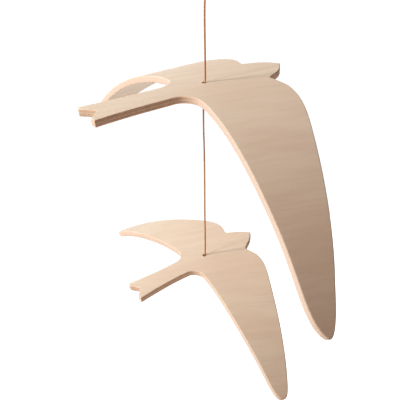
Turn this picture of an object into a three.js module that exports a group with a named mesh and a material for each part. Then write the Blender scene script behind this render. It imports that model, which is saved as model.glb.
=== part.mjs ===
// Hanging mobile: two swallows sawn from bent three-ply wood, one above the other on one thin cord.
// Millimetres, +Z up. The origin is the inside top of the hanging loop, where a hook carries it.
// +X is the way the upper bird flies and +Y is to its left.
import * as THREE from 'three';
import { mergeVertices } from 'three/addons/utils/BufferGeometryUtils.js';

// Sheet: both birds come from the same thickness, bent round the same former
const SHEET_THICKNESS = 4.5;
const BEND_RADIUS = 213; // of the upper face, about the line from head to tail
const HOLE_DIAMETER = 3;
const HOLE_SIDES = 12;
const HOLE_BEHIND_CORD = 0.6; // the cord leans on the front of its hole

// How the birds hang: depth of the upper face below the hook, and angles in degrees.
// They are sawn by hand, so the left wing and prong of the tail are not quite the right ones' size
const UPPER_BIRD = { depth: 69.8, noseUp: 4.4, turn: 0, leftWingLonger: 4.8, leftProngLonger: 1.9 };
const LOWER_BIRD = { depth: 198.1, noseUp: 7, turn: 4.8, leftWingLonger: 5, leftProngLonger: 0 };
const WING_ROOT = 14; // out from the middle line: a longer wing is stretched from here on

// Cord, with its knots. A stop knot is wider than the hole that rests on it
const CORD_DIAMETER = 0.95;
const CORD_SIDES = 8;
const CORD_STEP = 2.9 * CORD_DIAMETER;
const KNOT_SIDES = 16;
const LOOP_KNOT = { width: 3.8, height: 4, top: -16 };
const STOP_KNOT = { width: 4, height: 3.6 };

// Routes of the cord's middle, as it hangs. The stretches stop just short of the knots
const LOOP_ROUTE = [
  [-0.7, 0, -15.7], [-1.5, 0, -12.6], [-2.9, 0, -9.2], [-4.05, 0, -5.6], [-4, 0, -2.4],
  [-2.4, 0, -0.1], [0, 0, 0.475], [2.4, 0, -0.1], [4, 0, -2.4], [4.05, 0, -5.6],
  [2.9, 0, -9.2], [1.5, 0, -12.6], [0.7, 0, -15.7],
];
const UPPER_ROUTE = [
  [0, 0, -20.3], [-0.2, 0.1, -24], [-0.3, 0.15, -30], [-0.25, 0.15, -38], [-0.15, 0.1, -47],
  [-0.05, 0.05, -56], [0, 0, -64], [0, 0, -69.8], [0, 0, -74],
];
const LOWER_ROUTE = [
  [-1.2, 0, -78.2], [-1.25, 0, -84], [-1.2, 0, -92], [-1.1, 0, -101], [-0.8, 0, -110],
  [-0.55, 0, -123], [-0.4, 0, -138], [-0.35, 0, -150], [-0.3, 0, -160], [-0.2, 0, -170],
  [-0.05, 0, -179], [0, 0, -188], [0, 0, -198.1], [0, 0, -202.3],
];

// Half outlines of the flat birds, from the beak round the left wing to the fork of the tail.
// at: [ahead of the cord, out from the middle line]. The curve runs through each point on a
// heading in degrees, where 0 is ahead and 90 is out along the wing, and keeps to that heading
// for the given reach before and after the point. A second heading, out, makes a corner.
const UPPER_OUTLINE = [
  { at: [54.6, 0], heading: 122, before: 0, after: 17.2 }, // beak
  { at: [36.3, 16.3], heading: 140, out: 81, before: 8.5, after: 5.3 }, // neck
  { at: [39.5, 32.2], heading: 92, before: 5.2, after: 13.3 }, // shoulder
  { at: [27.2, 70.9], heading: 115, before: 13.4, after: 28.1 }, // leading edge
  { at: [-10.5, 150.8], heading: 118.5, before: 23, after: 9.4 }, // front of the wing tip
  { at: [-27.2, 173.9], heading: 237, before: 6.7, after: 12.2 }, // end of the wing tip
  { at: [-25.3, 118.8], heading: 277, before: 29.6, after: 36.8 }, // trailing edge
  { at: [-14.7, 22.4], heading: 268, before: 18.1, after: 5.9 }, // armpit
  { at: [-26.2, 10], heading: 178, before: 6.4, after: 15.9 }, // root of the tail
  { at: [-74.7, 12.3], heading: 174, before: 26.8, after: 0 }, // outer corner of the tail
  { at: [-75.5, 8.7], heading: 0, before: 0, after: 0 }, // inner corner of the prong
  { at: [-69.2, 0], heading: 0, before: 0, after: 0 }, // bottom of the fork
];
const LOWER_OUTLINE = [
  { at: [42, 0], heading: 126, before: 0, after: 10.4 },
  { at: [27.8, 12.9], heading: 136, out: 81, before: 7.1, after: 4 },
  { at: [30.6, 24.3], heading: 91, before: 3.8, after: 9.9 },
  { at: [20.1, 52.7], heading: 116, before: 10.1, after: 21.2 },
  { at: [-11.1, 110.3], heading: 123, before: 17.5, after: 8.3 },
  { at: [-21.4, 118.7], heading: 217, before: 3.9, after: 5.1 },
  { at: [-20.7, 88.1], heading: 276, before: 11.3, after: 27.6 },
  { at: [-12.8, 16.8], heading: 271, before: 13.6, after: 3.9 },
  { at: [-20.1, 7.8], heading: 182, before: 3.9, after: 12.1 },
  { at: [-59.4, 9.6], heading: 174, before: 19.7, after: 0 },
  { at: [-59.7, 6.4], heading: 0, before: 0, after: 0 },
  { at: [-55.2, 0], heading: 0, before: 0, after: 0 },
];

// Fineness of the faceted solids
const STRIP_WIDTH = 7; // of the flat facets that the bend is made of
const TURN_PER_STEP = 12; // degrees of curve to one straight side
const LONGEST_STEP = 28;

const wood = new THREE.MeshStandardMaterial({ color: 0xe2cbb2, roughness: 0.6, metalness: 0 });
const brown = new THREE.MeshStandardMaterial({ color: 0xa8794f, roughness: 0.75, metalness: 0 });

const part = new THREE.Group();

function along(heading, reach) {
  const angle = THREE.MathUtils.degToRad(heading);
  return new THREE.Vector2(Math.cos(angle) * reach, Math.sin(angle) * reach);
}

function halfOutline(stations) {
  const points = [];
  for (let i = 0; i + 1 < stations.length; i++) {
    const from = stations[i];
    const to = stations[i + 1];
    const start = new THREE.Vector2(...from.at);
    const end = new THREE.Vector2(...to.at);
    const leaving = along(from.out ?? from.heading, from.after);
    const arriving = along(to.heading, to.before);
    const curve = new THREE.CubicBezierCurve(
      start, start.clone().add(leaving), end.clone().sub(arriving), end);
    const bends = from.after > 0 || to.before > 0;
    const turn = Math.abs(to.heading - (from.out ?? from.heading));
    const steps = Math.ceil(turn / TURN_PER_STEP) + Math.ceil(curve.getLength() / LONGEST_STEP);
    points.push(...curve.getPoints(bends ? steps : 1).slice(0, -1));
  }
  points.push(new THREE.Vector2(...stations.at(-1).at));
  return points;
}

// The whole flat bird with its hole, the upper face at height 0
function flatBird(stations, bird) {
  const left = halfOutline(stations);
  const right = left.slice(1, -1).reverse().map((p) => new THREE.Vector2(p.x, -p.y));
  const span = Math.max(...left.map((p) => p.y));
  for (const p of left) {
    const outward = Math.max(0, (p.y - WING_ROOT) / (span - WING_ROOT));
    p.y += outward * bird.leftWingLonger;
  }
  const [outerCorner, innerCorner] = left.slice(-3);
  outerCorner.x -= bird.leftProngLonger;
  innerCorner.x -= bird.leftProngLonger;
  const shape = new THREE.Shape([...left, ...right]);
  const hole = new THREE.Path();
  hole.absarc(-HOLE_BEHIND_CORD, 0, HOLE_DIAMETER / 2, 0, 2 * Math.PI, true);
  shape.holes.push(hole);
  const options = { depth: SHEET_THICKNESS, bevelEnabled: false, curveSegments: HOLE_SIDES / 2 };
  return new THREE.ExtrudeGeometry(shape, options).translate(0, 0, -SHEET_THICKNESS);
}

// The part of a flat polygon on one side of the line y = level
function keepSide(polygon, level, side) {
  const kept = [];
  polygon.forEach((point, i) => {
    const next = polygon[(i + 1) % polygon.length];
    const here = side * (point.y - level);
    const there = side * (next.y - level);
    if (here >= 0) kept.push(point);
    if (here * there < 0) kept.push(point.clone().lerp(next, here / (here - there)));
  });
  return kept;
}

// Every triangle is cut at lines from head to tail, so that each strip can stay flat when it bends
function cutInStrips(geometry) {
  const source = geometry.getAttribute('position');
  const positions = [];
  for (let i = 0; i < source.count; i += 3) {
    const corners = [0, 1, 2].map((k) => new THREE.Vector3().fromBufferAttribute(source, i + k));
    const reach = corners.map((p) => p.y / STRIP_WIDTH);
    const first = Math.floor(Math.min(...reach));
    const last = Math.max(first + 1, Math.ceil(Math.max(...reach)));
    for (let strip = first; strip < last; strip++) {
      const above = keepSide(corners, strip * STRIP_WIDTH, 1);
      const piece = keepSide(above, (strip + 1) * STRIP_WIDTH, -1);
      for (let k = 1; k + 1 < piece.length; k++) {
        positions.push(...piece[0].toArray(), ...piece[k].toArray(), ...piece[k + 1].toArray());
      }
    }
  }
  const cut = new THREE.BufferGeometry();
  cut.setAttribute('position', new THREE.Float32BufferAttribute(positions, 3));
  return cut;
}

// Distance across the flat sheet becomes arc length round the former. Edges stay square to the face
function bend(geometry) {
  const position = geometry.getAttribute('position');
  for (let i = 0; i < position.count; i++) {
    const angle = position.getY(i) / BEND_RADIUS;
    const radius = BEND_RADIUS + position.getZ(i);
    position.setY(i, radius * Math.sin(angle));
    position.setZ(i, radius * Math.cos(angle) - BEND_RADIUS);
  }
  return geometry;
}

// Merged corners make one closed mesh, and slivers that merging has emptied are left out
function closedMesh(geometry) {
  const merged = mergeVertices(geometry, 1e-3);
  const index = Array.from(merged.getIndex().array);
  const kept = [];
  for (let i = 0; i < index.length; i += 3) {
    const [a, b, c] = index.slice(i, i + 3);
    if (a !== b && b !== c && c !== a) kept.push(a, b, c);
  }
  merged.setIndex(kept);
  merged.computeVertexNormals();
  return merged;
}

function addMesh(name, geometry, material) {
  const mesh = new THREE.Mesh(geometry, material);
  mesh.name = name;
  part.add(mesh);
  return mesh;
}

function addBird(name, stations, bird) {
  const mesh = addMesh(name, closedMesh(bend(cutInStrips(flatBird(stations, bird)))), wood);
  const noseUp = THREE.MathUtils.degToRad(bird.noseUp);
  mesh.rotation.set(0, -noseUp, THREE.MathUtils.degToRad(bird.turn), 'ZYX');
  mesh.position.z = -bird.depth;
}

// A smooth cord through hand-placed points
function addCord(name, route) {
  const path = new THREE.CatmullRomCurve3(route.map((point) => new THREE.Vector3(...point)));
  const corners = [];
  for (let i = 0; i < CORD_SIDES; i++) {
    const angle = (2 * Math.PI * (i + 0.5)) / CORD_SIDES;
    corners.push(new THREE.Vector2(Math.cos(angle), Math.sin(angle)).multiplyScalar(CORD_DIAMETER / 2));
  }
  const steps = Math.round(path.getLength() / CORD_STEP);
  const options = { steps, extrudePath: path, bevelEnabled: false };
  addMesh(name, new THREE.ExtrudeGeometry(new THREE.Shape(corners), options), brown);
}

// A knot pulled tight, kept plain: an egg turned about the plumb line
function addKnot(name, size, top) {
  const rings = KNOT_SIDES / 2;
  const profile = [];
  for (let i = 0; i <= rings; i++) {
    const angle = (Math.PI * i) / rings;
    const radius = i % rings === 0 ? 0 : Math.sin(angle) * size.width / 2;
    profile.push(new THREE.Vector2(radius, -Math.cos(angle) * size.height / 2));
  }
  const egg = new THREE.LatheGeometry(profile, KNOT_SIDES).rotateX(Math.PI / 2);
  addMesh(name, egg, brown).position.z = top - size.height / 2;
}

// Where the plumb line comes out under a bird, which is where its stop knot begins
function undersideOf(bird) {
  return -bird.depth - SHEET_THICKNESS / Math.cos(THREE.MathUtils.degToRad(bird.noseUp));
}

addBird('upper_bird', UPPER_OUTLINE, UPPER_BIRD);
addBird('lower_bird', LOWER_OUTLINE, LOWER_BIRD);
addKnot('loop_knot', LOOP_KNOT, LOOP_KNOT.top);
addKnot('upper_stop_knot', STOP_KNOT, undersideOf(UPPER_BIRD));
addKnot('lower_stop_knot', STOP_KNOT, undersideOf(LOWER_BIRD));
addCord('hanging_loop', LOOP_ROUTE);
addCord('upper_cord', UPPER_ROUTE);
addCord('lower_cord', LOWER_ROUTE);

export default part;
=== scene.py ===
"""A hanging mobile: two swallows sawn from bent three-ply wood, one above the other on one thin cord.

Lengths in the tables are millimetres, as the maker would give them, and meshes are in metres. The
origin is the inside top of the hanging loop, +X is the way the upper bird flies and +Z is up.
"""
import math

import bmesh
import bpy
import numpy as np
from mathutils import Euler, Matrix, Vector


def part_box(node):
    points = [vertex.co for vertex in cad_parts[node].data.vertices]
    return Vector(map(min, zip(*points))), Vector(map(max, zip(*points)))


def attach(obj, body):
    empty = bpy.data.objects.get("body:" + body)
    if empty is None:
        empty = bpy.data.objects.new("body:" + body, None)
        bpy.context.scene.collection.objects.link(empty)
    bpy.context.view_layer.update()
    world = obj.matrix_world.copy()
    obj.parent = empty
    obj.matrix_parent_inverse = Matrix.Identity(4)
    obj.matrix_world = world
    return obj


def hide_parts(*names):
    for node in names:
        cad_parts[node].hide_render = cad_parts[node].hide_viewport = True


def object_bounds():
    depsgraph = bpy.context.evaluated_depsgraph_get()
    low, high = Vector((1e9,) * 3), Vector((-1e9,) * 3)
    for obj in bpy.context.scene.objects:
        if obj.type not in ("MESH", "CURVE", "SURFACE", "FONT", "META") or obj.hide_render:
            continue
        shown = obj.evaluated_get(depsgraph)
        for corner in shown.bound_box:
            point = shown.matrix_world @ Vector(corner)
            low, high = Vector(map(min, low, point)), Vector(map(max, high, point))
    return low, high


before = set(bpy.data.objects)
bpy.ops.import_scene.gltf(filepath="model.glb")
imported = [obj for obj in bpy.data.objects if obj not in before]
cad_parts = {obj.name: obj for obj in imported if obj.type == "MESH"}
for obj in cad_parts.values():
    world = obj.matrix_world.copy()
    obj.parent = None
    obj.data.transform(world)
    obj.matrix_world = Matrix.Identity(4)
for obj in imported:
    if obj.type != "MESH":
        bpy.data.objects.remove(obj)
cad_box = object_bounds()

MM = 0.001

# The sheet, and how each bird hangs in it: depth of its upper face below the hook, angles in degrees
SHEET_THICKNESS = 4.5
BEND_RADIUS = 213  # of the upper face, about the line from head to tail
HOLE_RADIUS = 1.5
HOLE_BEHIND_CORD = 0.6
WING_ROOT = 14  # out from the middle line, where a longer wing starts to stretch
# How the grain lies is measured from the line between head and tail
UPPER_BIRD = {
    "depth": 69.8, "nose_up": 4.4, "turn": 0, "left_wing": 4.8, "left_prong": 1.9, "grain": -13}
LOWER_BIRD = {
    "depth": 198.1, "nose_up": 7, "turn": 4.8, "left_wing": 5, "left_prong": 0, "grain": -24}

# Half outlines of the flat birds, from the beak round the left wing to the fork of the tail:
# ahead of the cord, out from the middle line, heading on arrival, heading on leaving (0 is ahead,
# 90 is out along the wing), and how far the curve keeps to the heading before and after the point
UPPER_OUTLINE = np.array([
    (54.6, 0, 122, 122, 0, 17.2),  # beak
    (36.3, 16.3, 140, 81, 8.5, 5.3),  # neck
    (39.5, 32.2, 92, 92, 5.2, 13.3),  # shoulder
    (27.2, 70.9, 115, 115, 13.4, 28.1),  # leading edge
    (-10.5, 150.8, 118.5, 118.5, 23, 9.4),  # front of the wing tip
    (-27.2, 173.9, 237, 237, 6.7, 12.2),  # end of the wing tip
    (-25.3, 118.8, 277, 277, 29.6, 36.8),  # trailing edge
    (-14.7, 22.4, 268, 268, 18.1, 5.9),  # armpit
    (-26.2, 10, 178, 178, 6.4, 15.9),  # root of the tail
    (-74.7, 12.3, 174, 0, 26.8, 0),  # outer corner of the tail
    (-75.5, 8.7, 0, 0, 0, 0),  # inner corner of the prong
    (-69.2, 0, 0, 0, 0, 0),  # bottom of the fork
])
LOWER_OUTLINE = np.array([
    (42, 0, 126, 126, 0, 10.4),
    (27.8, 12.9, 136, 81, 7.1, 4),
    (30.6, 24.3, 91, 91, 3.8, 9.9),
    (20.1, 52.7, 116, 116, 10.1, 21.2),
    (-11.1, 110.3, 123, 123, 17.5, 8.3),
    (-21.4, 118.7, 217, 217, 3.9, 5.1),
    (-20.7, 88.1, 276, 276, 11.3, 27.6),
    (-12.8, 16.8, 271, 271, 13.6, 3.9),
    (-20.1, 7.8, 182, 182, 3.9, 12.1),
    (-59.4, 9.6, 174, 0, 19.7, 0),
    (-59.7, 6.4, 0, 0, 0, 0),
    (-55.2, 0, 0, 0, 0, 0),
])

# The cord: one length, from the loop's left foot round over the hook, down through the upper bird
# and its stop knot, and on to the knot under the lower bird
CORD_DIAMETER = 0.95
LOOP_ROUTE = [
    (-0.7, 0, -15.7), (-1.5, 0, -12.6), (-2.9, 0, -9.2), (-4.05, 0, -5.6), (-4, 0, -2.4),
    (-2.4, 0, -0.1), (0, 0, 0.475), (2.4, 0, -0.1), (4, 0, -2.4), (4.05, 0, -5.6),
    (2.9, 0, -9.2), (1.5, 0, -12.6), (0.7, 0, -15.7),
]
UPPER_ROUTE = [
    (0, 0, -20.3), (-0.2, 0.1, -24), (-0.3, 0.15, -30), (-0.25, 0.15, -38), (-0.15, 0.1, -47),
    (-0.05, 0.05, -56), (0, 0, -64), (0, 0, -69.8), (0, 0, -74),
]
LOWER_ROUTE = [
    (-1.2, 0, -78.2), (-1.25, 0, -84), (-1.2, 0, -92), (-1.1, 0, -101), (-0.8, 0, -110),
    (-0.55, 0, -123), (-0.4, 0, -138), (-0.35, 0, -150), (-0.3, 0, -160), (-0.2, 0, -170),
    (-0.05, 0, -179), (0, 0, -188), (0, 0, -198.1), (0, 0, -202.3),
]
STRANDS = 3
TWIST_PITCH = 2.7  # one turn of the strands
STRAND_GROOVE = 0.15  # how deep the grooves between the strands go, as a share of the radius
STRAND_CROWN = 1.16  # and how far the strands stand out

KNOT_CORE_SHARE = 0.32  # how much of a knot's cord runs down inside it
KNOT_CORE_RADIUS = 0.5
KNOT_CUT_END = 2.4
LOOP_KNOT_OVERLAP = 1.1  # the loop knot grips the feet of the loop
STOP_KNOT_OVERLAP = 0.25  # a stop knot is pressed up against the wood

# Room and light, in metres and watts
FLOOR_DROP = 0.45  # below the lowest wing tip
FLOOR_WIDTH = 1.4
FLOOR_GREY = (0.1, 0.1, 0.1, 1)
FLOOR_GLOW = 1.3
DOME_RADIUS = 5.9
DOME_GLOW = 1.05
BLACK = (0, 0, 0, 1)
WHITE = (1, 1, 1, 1)
WARM_BOUNCE = (1, 0.44, 0.16, 1)  # light thrown back by wood
BOUNCE_STRENGTH = 0.15
LIGHT_DISTANCE = 1.4
# Name, heading and elevation in degrees, width, power, colour
LIGHTS = (
    ("window_left", 160, 30, 0.16, 15.6, (1, 0.98, 0.95)),
    ("window_near", 178, 31, 0.1, 7.2, (0.94, 0.97, 1)),
    ("window_behind", 135, 25, 1, 9, (0.65, 0.88, 1)),
    ("ceiling", 90, 85, 1, 1.6, (0.95, 1, 1)),
)

# Finishes
PALE_WOOD = (0.765, 0.63, 0.49, 1)
WARM_WOOD = (0.745, 0.585, 0.45, 1)
# Darker tone of the grain streaks, and also the painted shade on the lower face
DEEP_GRAIN_AND_SHADE = (0.60, 0.44, 0.31, 1)
FLECK = (0.48, 0.33, 0.21, 1)
OUTER_END = (0.665, 0.49, 0.385, 1)  # the outer plies on an edge that cuts across their grain
OUTER_SIDE = (0.82, 0.54, 0.36, 1)  # and on an edge that runs with it
MIDDLE_SIDE = (0.655, 0.485, 0.375, 1)
MIDDLE_END = (0.86, 0.65, 0.47, 1)
SAW_MARK = (0.58, 0.38, 0.24, 1)
GLUE = (0.30, 0.16, 0.09, 1)
CORD_BROWN = (0.64, 0.32, 0.15, 1)
CORD_DARK = (0.50, 0.23, 0.10, 1)
CORD_WORN = (0.72, 0.42, 0.23, 1)
# Painted shade for the grooves between the strands
CORD_GROOVE_SHADE = (0.26, 0.11, 0.05, 1)
WOOD_GLOSS = 0.155
CORD_GLOSS = 0.15
PLY_BLUR = 0.05  # over which one ply gives way to the next
GLUE_CORE = 0.08  # half width of a glue line
GLUE_FADE = 0.26  # and how far from its middle it has faded away
EDGE_FADE = 0.45  # how far in from the faces the edge finish starts to give way to the face finish
EDGE_LIMIT = 0.02  # and how far in it has quite gone
GRAIN_WAVER = 0.006  # metres that the streaks wander to the side
BUMP_STRENGTH = 0.3
WOOD_RELIEF = 0.00008  # metres
CORD_RELIEF = 0.00005

# Fineness of the surfaces
EDGE_ROUNDING = 0.6  # the sanded edge of the sheet
EDGE_STEPS = 5
HELD_RING = 1.6  # edge roundings from the rim to the ring of points that keeps the face flat
FACE_STEPS = 10
CURVE_POINTS = 120
HOLE_QUARTER_POINTS = 9
WING_STEPS = 130
WING_CROWDING = 0.35  # how much closer the steps lie at the wing tip than at its root
SAME_PLACE = 0.001
SAME_DECIMALS = 4
CORD_STEP = 0.2  # between the rings of a cord
CORD_SIDES = 24
ROUTE_SAMPLES = 40  # between two given points, before they are spread evenly
KNOT_STEPS = 400
CUT_END_STEPS = 20
WELD_GAP = 1e-7  # metres
SLIVER = 1e-8

# The line inside half a bird that its rim is joined to: where it runs, as shares of the distance
# from the cord to the named station, and how many points it has on each run
BEAK_START = 0.95
NECK_PLACE = 0.78
WING_END = (0.83, 0.955)
TAIL_SIDE_END = 0.92
PRONG_END = 0.945
FORK_END = 0.98
BEAK_POINTS = 25
NECK_POINTS = 20
TAIL_POINTS = 45
PRONG_POINTS = 6
FORK_POINTS = 12


# ---------------------------------------------------------------- camera, light and floor

def add_camera():
    """A camera a forearm's length away that looks down on both birds."""
    data = bpy.data.cameras.new("camera")
    data.lens = 45.96
    data.sensor_width = 36
    data.shift_x = 0.0071
    data.shift_y = 0.0717
    data.clip_start = 0.01
    camera = bpy.data.objects.new("camera", data)
    camera.location = (-0.1523, -0.2799, 0.0310)
    camera.rotation_euler = (math.radians(56.114), 0, math.radians(-28.54))
    bpy.context.collection.objects.link(camera)
    bpy.context.scene.camera = camera


class Finish:
    """A material while it is made. Every node comes from its one method."""

    def __init__(self, name):
        self.material = bpy.data.materials.new(name)
        self.material.use_nodes = True
        self.tree = self.material.node_tree
        self.shader = self.tree.nodes["Principled BSDF"]

    def node(self, kind, settings, values, output=0):
        """Any node: its type, its settings, then the values or links of its sockets."""
        node = self.tree.nodes.new(kind)
        for name, value in settings.items():
            setattr(node, name, value)
        for name, value in values.items():
            target = node.inputs[name]
            if isinstance(value, Socket):
                self.tree.links.new(value.socket, target)
            else:
                target.default_value = value
        return Socket(self, node.outputs[output])

    def attribute(self, name, output):
        return self.node("ShaderNodeAttribute", {"attribute_name": name}, {}, output)

    def colour_mix(self, factor, first, second):
        settings = {"data_type": "RGBA", "clamp_factor": True}
        return self.node("ShaderNodeMix", settings, {0: factor, 6: first, 7: second}, 2)

    def vector(self, operation, first, second):
        return self.node("ShaderNodeVectorMath", {"operation": operation}, {0: first, 1: second})

    def noise(self, place, scale, detail, stretch=(1, 1, 1), output=0):
        """Smooth noise, drawn out along an axis where the stretch is under 1."""
        shaped = self.node("ShaderNodeMapping", {}, {0: place, 3: stretch})
        values = {"Vector": shaped, "Scale": scale, "Detail": detail}
        return self.node("ShaderNodeTexNoise", {}, values, output)

    def bump(self, height, relief):
        values = {"Strength": BUMP_STRENGTH, "Distance": relief, "Height": height}
        return self.node("ShaderNodeBump", {}, values)

    def feed(self, socket, name):
        self.tree.links.new(socket.socket, self.shader.inputs[name])


class Socket:
    """A shader value whose operators add Math nodes."""

    def __init__(self, finish, socket):
        self.finish = finish
        self.socket = socket

    def math(self, operation, *operands):
        values = dict(enumerate(operands))
        return self.finish.node("ShaderNodeMath", {"operation": operation}, values)

    def __add__(self, other):
        return self.math("ADD", self, other)

    def __radd__(self, other):
        return self.math("ADD", other, self)

    def __sub__(self, other):
        return self.math("SUBTRACT", self, other)

    def __rsub__(self, other):
        return self.math("SUBTRACT", other, self)

    def __mul__(self, other):
        return self.math("MULTIPLY", self, other)

    def __rmul__(self, other):
        return self.math("MULTIPLY", other, self)

    def __abs__(self):
        return self.math("ABSOLUTE", self)

    def between(self, low, high):
        """0 below low, 1 above high, and smooth between them."""
        settings = {"interpolation_type": "SMOOTHSTEP"}
        return self.finish.node("ShaderNodeMapRange", settings, {0: self, 1: low, 2: high})


def add_light(name, heading, elevation, width, power, colour):
    """A square soft light aimed at the middle of the mobile. Heading 0 is ahead of the upper bird
    and 90 is off its left wing."""
    turn = math.radians(heading)
    rise = math.radians(elevation)
    direction = Vector((
        math.cos(turn) * math.cos(rise), math.sin(turn) * math.cos(rise), math.sin(rise)))
    data = bpy.data.lights.new(name, "AREA")
    data.size = width
    data.energy = power
    data.color = colour
    light = bpy.data.objects.new(name, data)
    light.location = Vector((cad_box[0] + cad_box[1]) / 2) + direction * LIGHT_DISTANCE
    light.rotation_euler = (-direction).to_track_quat("-Z", "Y").to_euler()
    bpy.context.collection.objects.link(light)


def glowing_sheet(name, colour, glow):
    """Plain matt sheet that also glows, like paper on a light table."""
    finish = Finish(name)
    finish.shader.inputs["Base Color"].default_value = colour
    finish.shader.inputs["Roughness"].default_value = 0.9
    finish.shader.inputs["Emission Color"].default_value = WHITE
    finish.shader.inputs["Emission Strength"].default_value = glow
    return finish.material


def add_stage():
    """A square of pale floor well below the birds, and a plain pale dome all round it. The dome is
    seen by the camera and in gloss, and throws no light on the wood."""
    low = cad_box[0].z - FLOOR_DROP
    side = FLOOR_WIDTH / 2
    corners = np.array([
        (-side, -side, low), (side, -side, low), (side, side, low), (-side, side, low)])
    floor = mesh_object("floor", corners, np.array([(0, 1, 2, 3)]))
    floor.data.materials.append(glowing_sheet("pale_floor", FLOOR_GREY, FLOOR_GLOW))
    bpy.ops.mesh.primitive_uv_sphere_add(segments=32, ring_count=16, radius=DOME_RADIUS)
    dome = bpy.context.object
    dome.name = "backdrop"
    dome.data.materials.append(glowing_sheet("pale_backdrop", BLACK, DOME_GLOW))
    for rays in ("diffuse", "transmission", "shadow", "volume_scatter"):
        setattr(dome, "visible_" + rays, False)


def add_world():
    """The dim light that comes from everywhere."""
    world = bpy.data.worlds.new("room")
    world.use_nodes = True
    background = world.node_tree.nodes["Background"]
    background.inputs["Color"].default_value = WARM_BOUNCE
    background.inputs["Strength"].default_value = BOUNCE_STRENGTH
    bpy.context.scene.world = world


# ---------------------------------------------------------------- meshes

def mesh_object(name, points, faces):
    """A mesh in metres from an array of points and an array of four-sided faces."""
    mesh = bpy.data.meshes.new(name)
    mesh.from_pydata(points.tolist(), [], faces.tolist())
    mesh.update()
    piece = bpy.data.objects.new(name, mesh)
    bpy.context.collection.objects.link(piece)
    return piece


def grid_faces(rows, columns, wrap=False):
    """Faces between neighbouring rows and columns of a grid. With wrap the columns close up."""
    index = np.arange(rows * columns).reshape(rows, columns)
    beside = np.roll(index, -1, axis=1)
    if not wrap:
        index, beside = index[:, :-1], beside[:, :-1]
    return np.stack([index[:-1], beside[:-1], beside[1:], index[1:]], axis=-1).reshape(-1, 4)


def smooth_shade(piece, sharp_angle):
    """Smooth shading, with edges over the angle in degrees left sharp."""
    mesh = piece.data
    mesh.shade_smooth()
    mesh.set_sharp_from_angle(angle=math.radians(sharp_angle))


def along(heading, reach):
    """Steps of the given reach in the directions of the headings."""
    angle = np.radians(heading)
    return np.stack([np.cos(angle), np.sin(angle)], axis=-1) * reach[..., None]


def outline_run(stations, first, last):
    """Points of the outline from one station to another. Between two stations it is the cubic curve
    that leaves and arrives on their headings, and a straight line where both reaches are 0."""
    a, b = stations[first:last], stations[first + 1:last + 1]
    start, end = a[:, :2], b[:, :2]
    leave = start + along(a[:, 3], a[:, 5])
    arrive = end - along(b[:, 2], b[:, 4])
    t = np.linspace(0, 1, CURVE_POINTS)[None, :, None]
    start, leave, arrive, end = (p[:, None] for p in (start, leave, arrive, end))
    curve = ((1 - t) ** 3 * start + 3 * (1 - t) ** 2 * t * leave
             + 3 * (1 - t) * t ** 2 * arrive + t ** 3 * end)
    return curve.reshape(-1, 2)


def at_shares(points, shares):
    """Points at given shares of a curve's length."""
    length = np.concatenate([[0], np.cumsum(np.linalg.norm(np.diff(points, axis=0), axis=1))])
    where = np.asarray(shares) * length[-1]
    return np.stack([np.interp(where, length, points[:, k]) for k in range(points.shape[1])], axis=1)


def level(start, stop, count):
    """Evenly spaced points on the line from head to tail."""
    return np.stack([np.linspace(start, stop, count), np.zeros(count)], axis=1)


def spokes(stations):
    """The rim of half a bird and, for each of its points, a partner on a line down its middle.

    The middle line runs from beak to hole, round the hole's left side with a branch to the wing
    tip, and on to the fork. Straight lines from rim to partner then cover the half exactly once.
    """
    beak, neck, fork = stations[0, 0], stations[1, 0], stations[-1, 0]
    quarter = np.linspace(0, np.pi / 2, HOLE_QUARTER_POINTS)
    hole = np.array([-HOLE_BEHIND_CORD, 0])
    arc = hole + HOLE_RADIUS * np.stack([np.cos(quarter), np.sin(quarter)], axis=1)
    rear_arc = arc[::-1] * (-1, 1) - (2 * HOLE_BEHIND_CORD, 0)
    to_hole = np.concatenate([level(NECK_PLACE * neck, arc[0, 0], NECK_POINTS)[:-1], arc])
    from_hole = np.concatenate([
        rear_arc[:-1], level(rear_arc[-1, 0], TAIL_SIDE_END * fork, TAIL_POINTS)])

    out = np.linspace(0, 1, WING_STEPS + 1)
    out = out * (1 + WING_CROWDING - WING_CROWDING * out)
    wing_end = np.array(WING_END) * stations[5, :2]
    wing = arc[-1] + (wing_end - arc[-1]) * out[:, None]

    def even(points):
        return np.linspace(0, 1, len(points))

    beak_run = level(BEAK_START * beak, NECK_PLACE * neck, BEAK_POINTS)
    prong_run = level(TAIL_SIDE_END * fork, PRONG_END * fork, PRONG_POINTS)
    fork_run = level(PRONG_END * fork, FORK_END * fork, FORK_POINTS)
    runs = [
        (0, 1, beak_run, even(beak_run)),
        (1, 2, to_hole, even(to_hole)),
        (2, 5, wing, out),
        (5, 7, wing[::-1], 1 - out[::-1]),
        (7, 9, from_hole, even(from_hole)),
        (9, 10, prong_run, even(prong_run)),
        (10, 11, fork_run, even(fork_run)),
    ]
    rim = []
    middle = []
    for first, last, partners, shares in runs:
        shared = 0 if first == 0 else 1  # a run starts on the last point of the one before it
        rim.append(at_shares(outline_run(stations, first, last), shares)[shared:])
        middle.append(partners[shared:])
    return np.concatenate(rim), np.concatenate(middle)


def inward(rim):
    """For each rim point, the step that moves both neighbouring edges in by one unit."""
    edge = np.diff(rim, axis=0)
    edge /= np.linalg.norm(edge, axis=1, keepdims=True)
    normal = np.stack([-edge[:, 1], edge[:, 0]], axis=1)
    before, after = normal[:-1], normal[1:]
    inner = (before + after) / (1 + (before * after).sum(axis=1, keepdims=True))
    tip = np.array([[1 / normal[0, 0], 0]])
    fork = np.array([[1 / normal[-1, 0], 0]])
    return np.concatenate([tip, inner, fork])


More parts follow.
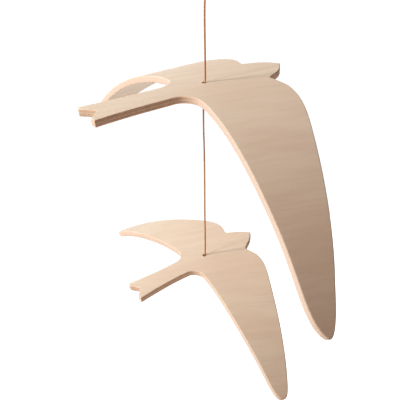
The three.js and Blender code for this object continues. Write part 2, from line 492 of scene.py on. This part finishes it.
def half_bird(stations, mirrored):
    """Half of a flat bird as a grid: one row to each rim point, and in each row a loop of points
    from the middle out over the upper face, down the rounded edge and back under the lower face.
    Returns the points, with depth 0 at the upper face, which way each rim faces, and the middle."""
    rim, middle = spokes(stations)
    step_in = inward(rim)
    bend = np.linspace(0, np.pi / 2, EDGE_STEPS + 1)
    inset = EDGE_ROUNDING * (1 - np.sin(bend))
    depth = EDGE_ROUNDING * (1 - np.cos(bend))
    out = np.linspace(0, 1, FACE_STEPS + 1)
    held = rim + HELD_RING * EDGE_ROUNDING * step_in
    face = middle[:, None] + (held - middle)[:, None] * out[None, :, None]
    edge = rim[:, None] + step_in[:, None] * inset[None, :, None]
    upper = np.concatenate([face, edge], axis=1)
    flat = np.concatenate([upper, upper[:, ::-1]], axis=1)
    depths = np.concatenate([np.zeros(FACE_STEPS + 1), depth])
    depths = np.concatenate([-depths, depths[::-1] - SHEET_THICKNESS])
    depths = np.broadcast_to(depths[None, :, None], flat.shape[:2] + (1,))
    points = np.concatenate([flat, depths], axis=2)
    facing = np.broadcast_to(step_in[:, None], flat.shape)
    if mirrored:
        points = points * (1, -1, 1)
        facing = facing * (1, -1)
    return points, facing, middle


def half_faces(rows, columns, middle):
    """The faces of half a bird, with the wall of the hole where two rows start on the hole."""
    quads = grid_faces(rows, columns)
    from_hole = np.hypot(middle[:, 0] + HOLE_BEHIND_CORD, middle[:, 1])
    at_hole = from_hole < HOLE_RADIUS + SAME_PLACE
    row = np.flatnonzero(at_hole[:-1] & at_hole[1:])
    near, far = row * columns, (row + 1) * columns
    wall = np.stack([near + columns - 1, near, far, far + columns - 1], axis=1)
    return np.concatenate([quads, wall])


def sewn(flat, facing, faces):
    """Points that share a place become one, and faces that this leaves without an area go."""
    _, first, again = np.unique(
        np.round(flat, SAME_DECIMALS), axis=0, return_index=True, return_inverse=True)
    faces = again.reshape(-1)[faces]
    ordered = np.sort(faces, axis=1)
    whole = (ordered[:, 1:] != ordered[:, :-1]).all(axis=1)
    return flat[first], facing[first], faces[whole]


def build_bird(name, stations, bird):
    """Two halves sewn into one closed plate, then bent round the line from head to tail: the way
    out along the wing becomes an angle, and the depth in the sheet a smaller radius."""
    left = stations.copy()
    left[9:11, 0] -= bird["left_prong"]
    points = []
    facings = []
    faces = []
    start = 0
    for source, mirrored in ((left, False), (stations, True)):
        grid, facing, middle = half_bird(source, mirrored)
        rows, columns = grid.shape[:2]
        quads = half_faces(rows, columns, middle)
        faces.append((quads if not mirrored else quads[:, ::-1]) + start)
        points.append(grid.reshape(-1, 3))
        facings.append(facing.reshape(-1, 2))
        start += rows * columns
    flat = np.concatenate(points)
    span = stations[:, 1].max()
    flat[:, 1] += np.maximum(0, (flat[:, 1] - WING_ROOT) / (span - WING_ROOT)) * bird["left_wing"]
    flat, facing, faces = sewn(flat, np.concatenate(facings), np.concatenate(faces))

    angle = flat[:, 1] / BEND_RADIUS
    radius = BEND_RADIUS + flat[:, 2]
    bent = np.stack(
        [flat[:, 0], radius * np.sin(angle), radius * np.cos(angle) - BEND_RADIUS], axis=1)
    hang = Euler((0, -math.radians(bird["nose_up"]), math.radians(bird["turn"])), "XYZ")
    placed = (bent @ np.array(hang.to_matrix()).T - (0, 0, bird["depth"])) * MM
    piece = mesh_object(name, placed, faces)
    mark_grain(piece, flat, facing, math.radians(bird["grain"]))
    smooth_shade(piece, 60)
    return piece


def mark_grain(piece, flat, facing, grain):
    """Two attributes for the wood: the place in the flat sheet, in metres, along the grain, across
    it and up from the middle ply, and how squarely the rim cuts the grain, from 0 to 1."""
    lengthwise = np.array((math.cos(grain), math.sin(grain)))
    crosswise = np.array((-math.sin(grain), math.cos(grain)))
    height = flat[:, 2] + SHEET_THICKNESS / 2
    laid = np.stack([flat[:, :2] @ lengthwise, flat[:, :2] @ crosswise, height], axis=1)
    sheet = piece.data.attributes.new("sheet", "FLOAT_VECTOR", "POINT")
    sheet.data.foreach_set("vector", (laid * MM).astype(np.float32).ravel())
    squarely = np.abs(facing @ lengthwise) / np.linalg.norm(facing, axis=1)
    across = piece.data.attributes.new("across", "FLOAT", "POINT")
    across.data.foreach_set("value", squarely.astype(np.float32))


def smooth_path(route, step):
    """A curve through given points, with an even step between its points. Each stretch is the
    cubic whose slope at a point is half the way between that point's two neighbours."""
    knots = np.array(route, float)
    ends = np.concatenate([[2 * knots[0] - knots[1]], knots, [2 * knots[-1] - knots[-2]]])
    a, b, c, d = (ends[k:len(ends) - 3 + k, None] for k in range(4))
    t = np.linspace(0, 1, ROUTE_SAMPLES)[None, :, None]
    curve = 0.5 * (2 * b + (c - a) * t + (2 * a - 5 * b + 4 * c - d) * t ** 2
                   + (3 * b - a - 3 * c + d) * t ** 3).reshape(-1, 3)
    length = np.linalg.norm(np.diff(curve, axis=0), axis=1).sum()
    return at_shares(curve, np.linspace(0, 1, int(length / step) + 1)), length


def twisted_tube(name, path, length, side_hint=(0, 1, 0)):
    """Strands laid round each other along a path: at each place the section is a circle with a
    shallow groove between strands, turned by the length run so far. Each end closes in a dome."""
    ahead = np.gradient(path, axis=0)
    ahead /= np.linalg.norm(ahead, axis=1, keepdims=True)
    side = np.array(side_hint) - ahead * (ahead @ np.array(side_hint))[:, None]
    side /= np.linalg.norm(side, axis=1, keepdims=True)
    other = np.cross(ahead, side)
    run = np.linspace(0, length, len(path))[:, None]
    around = np.linspace(0, 2 * np.pi, CORD_SIDES, endpoint=False)[None]
    phase = around - 2 * np.pi * run / TWIST_PITCH
    lobe = np.abs(np.cos(STRANDS / 2 * phase))
    radius = CORD_DIAMETER / 2 * (STRAND_CROWN - STRAND_GROOVE * (1 - lobe))
    from_end = np.minimum(run, length - run)
    dome = np.sqrt(np.clip(1 - (1 - from_end / (CORD_DIAMETER / 2)) ** 2, 0, 1))
    radius = radius * np.where(from_end < CORD_DIAMETER / 2, dome, 1)
    points = (path[:, None] + side[:, None] * (radius * np.cos(around))[..., None]
              + other[:, None] * (radius * np.sin(around))[..., None])
    faces = grid_faces(len(path), around.size, wrap=True)
    piece = mesh_object(name, points.reshape(-1, 3) * MM, faces)
    groove = piece.data.attributes.new("groove", "FLOAT", "POINT")
    groove.data.foreach_set("value", (1 - lobe).astype(np.float32).ravel())
    lay = piece.data.attributes.new("lay", "FLOAT_VECTOR", "POINT")
    strand = np.stack(np.broadcast_arrays(np.cos(phase), np.sin(phase), run), axis=-1)
    lay.data.foreach_set("vector", strand.astype(np.float32).ravel())
    weld(piece)
    smooth_shade(piece, 80)
    return piece


def weld(piece):
    """Joins points that share a place, as at the closed ends of a tube."""
    shape = bmesh.new()
    shape.from_mesh(piece.data)
    bmesh.ops.remove_doubles(shape, verts=shape.verts, dist=WELD_GAP)
    bmesh.ops.dissolve_degenerate(shape, edges=shape.edges, dist=SLIVER)
    bmesh.ops.recalc_face_normals(shape, faces=shape.faces)
    shape.to_mesh(piece.data)
    shape.free()


def knot(name, node, overlap):
    """A barrel knot the size of its node. The cord runs down inside, widening as it goes, then winds
    up round itself in touching turns: radius, height and angle are functions of the share run. The
    cut end leaves the last turn along its tangent. The overlap is how far the knot is pushed up
    over what it holds."""
    low, high = (np.array(corner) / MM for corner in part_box(node))
    high[2] += overlap
    centre = (low + high) / 2
    strand = CORD_DIAMETER / 2
    reach = (high[0] - low[0]) / 2 - strand
    half_height = (high[2] - low[2]) / 2 - strand
    share = np.linspace(0, 1, KNOT_STEPS)
    down = np.clip(share / KNOT_CORE_SHARE, 0, 1)
    up = np.clip((share - KNOT_CORE_SHARE) / (1 - KNOT_CORE_SHARE), 0, 1)
    radius = KNOT_CORE_RADIUS + (reach - KNOT_CORE_RADIUS) * (0.5 - 0.5 * np.cos(np.pi * down))
    level = half_height * (1 - 2 * down + 2 * up)
    pitch = CORD_DIAMETER * STRAND_CROWN
    turns = 2 * half_height / pitch / (1 - KNOT_CORE_SHARE)
    angle = 2 * np.pi * turns * share
    wound = np.stack([radius * np.cos(angle), radius * np.sin(angle), level], axis=1)
    tangent = (wound[-1] - wound[-2]) / np.linalg.norm(wound[-1] - wound[-2])
    cut_end = wound[-1] + tangent * np.linspace(0, KNOT_CUT_END, CUT_END_STEPS)[1:, None]
    path = np.concatenate([wound, cut_end]) + centre
    run = np.linalg.norm(np.diff(path, axis=0), axis=1).sum()
    path = at_shares(path, np.linspace(0, 1, int(run / CORD_STEP)))
    return twisted_tube(name, path, run, side_hint=(0.05, 0.08, 1))


# ---------------------------------------------------------------- materials

def plywood():
    """Pale veneer with fine wavering streaks along its grain, small flecks and soft warm clouds, and
    painted shade on its lower face.

    The edge shows three plies. The outer two lie with the grain and the middle one across it, and
    a ply is darker where its fibres are seen from their side. Thin glue lines part the plies."""
    wood = Finish("birch_plywood")
    sheet = wood.attribute("sheet", 1)
    across = wood.attribute("across", 2)
    ply = SHEET_THICKNESS * MM / 3
    depth = wood.node("ShaderNodeSeparateXYZ", {}, {0: sheet}, 2)
    from_middle = abs(depth)
    outer = from_middle.between(ply / 2 - PLY_BLUR * MM, ply / 2 + PLY_BLUR * MM)
    glue = 1 - abs(from_middle - ply / 2).between(GLUE_CORE * MM, GLUE_FADE * MM)
    on_edge = 1 - from_middle.between(ply * 1.5 - EDGE_FADE * MM, ply * 1.5 - EDGE_LIMIT * MM)

    centred = wood.vector("SUBTRACT", wood.noise(sheet, 32, 1, (1, 0.6, 1), 1), (0.5, 0.5, 0.5))
    wavering = wood.vector("ADD", sheet, wood.vector("MULTIPLY", centred, (0, GRAIN_WAVER, 0)))
    clouds = wood.noise(sheet, 30, 2, (0.45, 1, 1))
    streaks = wood.noise(wavering, 520, 2, (0.07, 1, 0.5))
    bands = wood.noise(wavering, 150, 2, (0.12, 1, 1))
    fibres = wood.noise(wavering, 1900, 2, (0.05, 1, 1))
    flecks = wood.noise(sheet, 900, 1, (0.22, 1, 1))

    face = wood.colour_mix(clouds.between(0.34, 0.66), PALE_WOOD, WARM_WOOD)
    face = wood.colour_mix(streaks.between(0.36, 0.68) * 0.2, face, DEEP_GRAIN_AND_SHADE)
    face = wood.colour_mix(bands.between(0.45, 0.7) * 0.13, face, DEEP_GRAIN_AND_SHADE)
    face = wood.colour_mix(flecks.between(0.62, 0.78) * 0.16, face, FLECK)
    # Painted shade: the lower face is darkened
    underside_shade = 1 - depth.between(-ply, -ply / 2)
    face = wood.colour_mix(underside_shade * 0.3, face, DEEP_GRAIN_AND_SHADE)

    side_on = 1 - across * across
    coarse_marks = wood.noise(sheet, 260, 2, (1, 1, 0.8))
    fine_marks = wood.noise(sheet, 900, 1, (1, 0.3, 0.9))
    saw_marks = coarse_marks * 0.5 + fine_marks * 0.5
    outer_edge = wood.colour_mix(side_on, OUTER_END, OUTER_SIDE)
    middle_edge = wood.colour_mix(side_on, MIDDLE_SIDE, MIDDLE_END)
    edge = wood.colour_mix(outer, middle_edge, outer_edge)
    edge = wood.colour_mix(saw_marks.between(0.4, 0.62) * (side_on * 0.3 + 0.06), edge, SAW_MARK)
    edge = wood.colour_mix(glue * (side_on * 0.4 + 0.03), edge, GLUE)

    wood.feed(wood.colour_mix(on_edge, face, edge), "Base Color")
    wood.feed(streaks * 0.1 + fibres * 0.08 + on_edge * 0.15 + 0.4, "Roughness")
    wood.shader.inputs["Specular IOR Level"].default_value = WOOD_GLOSS
    height = fibres * 0.5 + streaks * 0.35 + saw_marks * on_edge * 0.6
    wood.feed(wood.bump(height, WOOD_RELIEF), "Normal")
    return wood.material


def waxed_cord():
    """Brown waxed thread with painted shade in the grooves between strands, and fine fibres along the
    lay.
    """
    thread = Finish("waxed_cord")
    groove = thread.attribute("groove", 2)
    lay = thread.attribute("lay", 1)
    along_lay = (2.5, 2.5, 0.6)
    fibres = thread.noise(lay, 3, 3, along_lay)
    patches = thread.noise(lay, 0.25, 1, along_lay)
    colour = thread.colour_mix(fibres.between(0.3, 0.7) * 0.6, CORD_BROWN, CORD_DARK)
    colour = thread.colour_mix(patches.between(0.4, 0.7) * 0.3, colour, CORD_WORN)
    # Painted shade darkens the grooves between the strands
    thread.feed(thread.colour_mix(groove * 0.5, colour, CORD_GROOVE_SHADE), "Base Color")
    thread.feed(fibres * 0.2 + 0.5, "Roughness")
    thread.shader.inputs["Specular IOR Level"].default_value = CORD_GLOSS
    thread.feed(thread.bump(fibres, CORD_RELIEF), "Normal")
    return thread.material


# ---------------------------------------------------------------- the mobile

bpy.context.scene.view_settings.view_transform = "Standard"
add_camera()

cord_path, cord_length = smooth_path(LOOP_ROUTE + UPPER_ROUTE + LOWER_ROUTE, CORD_STEP)
cord = twisted_tube("cord", cord_path, cord_length)
knots = [
    knot("loop_knot_wound", "loop_knot", LOOP_KNOT_OVERLAP),
    knot("upper_stop_knot_wound", "upper_stop_knot", STOP_KNOT_OVERLAP),
    knot("lower_stop_knot_wound", "lower_stop_knot", STOP_KNOT_OVERLAP),
]
upper_swallow = build_bird("upper_swallow", UPPER_OUTLINE, UPPER_BIRD)
lower_swallow = build_bird("lower_swallow", LOWER_OUTLINE, LOWER_BIRD)

wood = plywood()
for swallow, node in ((upper_swallow, "upper_bird"), (lower_swallow, "lower_bird")):
    swallow.data.materials.append(wood)
    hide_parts(node)
    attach(swallow, "root")

thread = waxed_cord()
for piece, nodes in (
        (cord, ("hanging_loop", "upper_cord", "lower_cord")),
        (knots[0], ("loop_knot",)),
        (knots[1], ("upper_stop_knot",)),
        (knots[2], ("lower_stop_knot",))):
    piece.data.materials.append(thread)
    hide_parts(*nodes)
    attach(piece, "root")

add_stage()
add_world()
for light in LIGHTS:
    add_light(*light)
